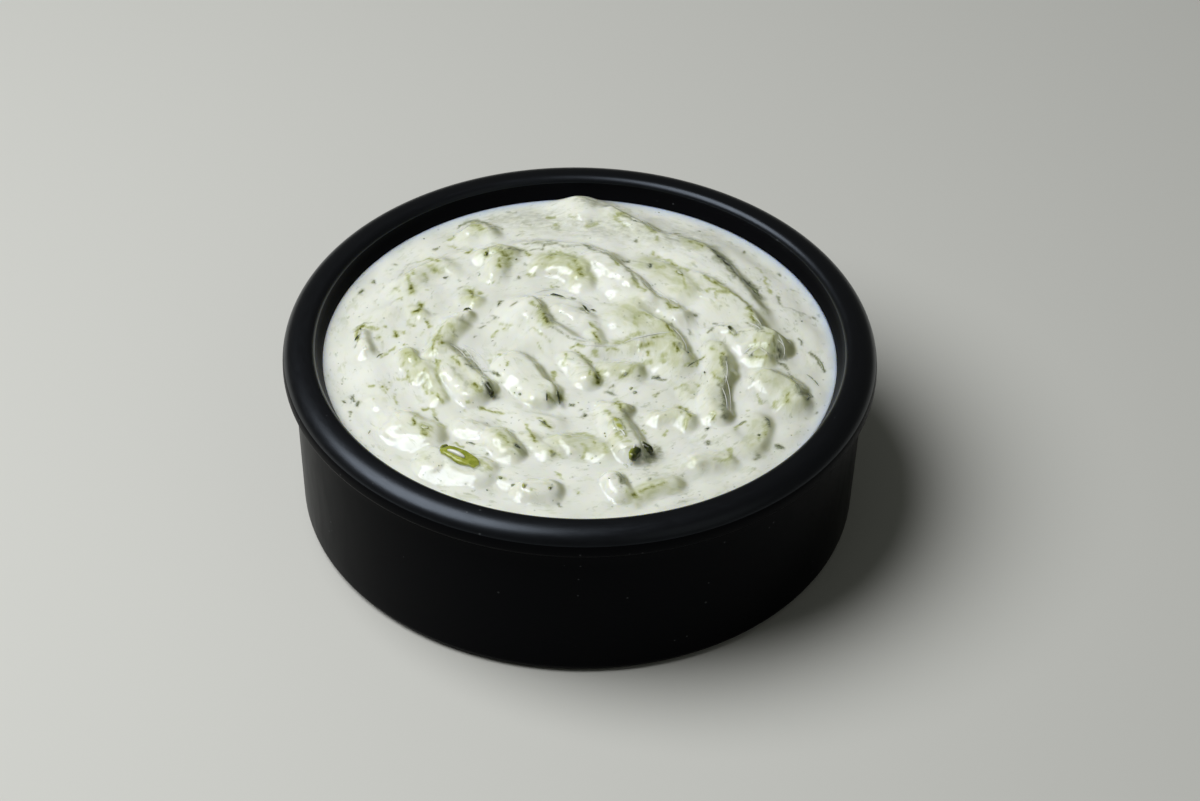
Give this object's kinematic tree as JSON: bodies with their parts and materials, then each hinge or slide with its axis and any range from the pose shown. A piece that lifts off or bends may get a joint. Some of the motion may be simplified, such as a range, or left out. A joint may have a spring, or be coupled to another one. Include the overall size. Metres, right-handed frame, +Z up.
{
  "type": "tzatziki dip in a round dish",
  "caption": "Round black dish with a rounded lip, filled nearly to the brim with tzatziki dip: spoon swirls, lumps of grated cucumber and herbs.",
  "frame": {"origin": "middle of the dish's foot, on the surface that it stands on", "axes": "+Z up, along the dish's axis; the side that the viewer faces looks along -Y"},
  "size_m": [0.1, 0.1, 0.0325],
  "materials": {
    "black_glaze": "satin black glaze with fine dust specks",
    "tzatziki": null
  },
  "bodies": {
    "root": {"dish": "black_glaze", "tzatziki": "tzatziki"}
  },
  "joints": []
}
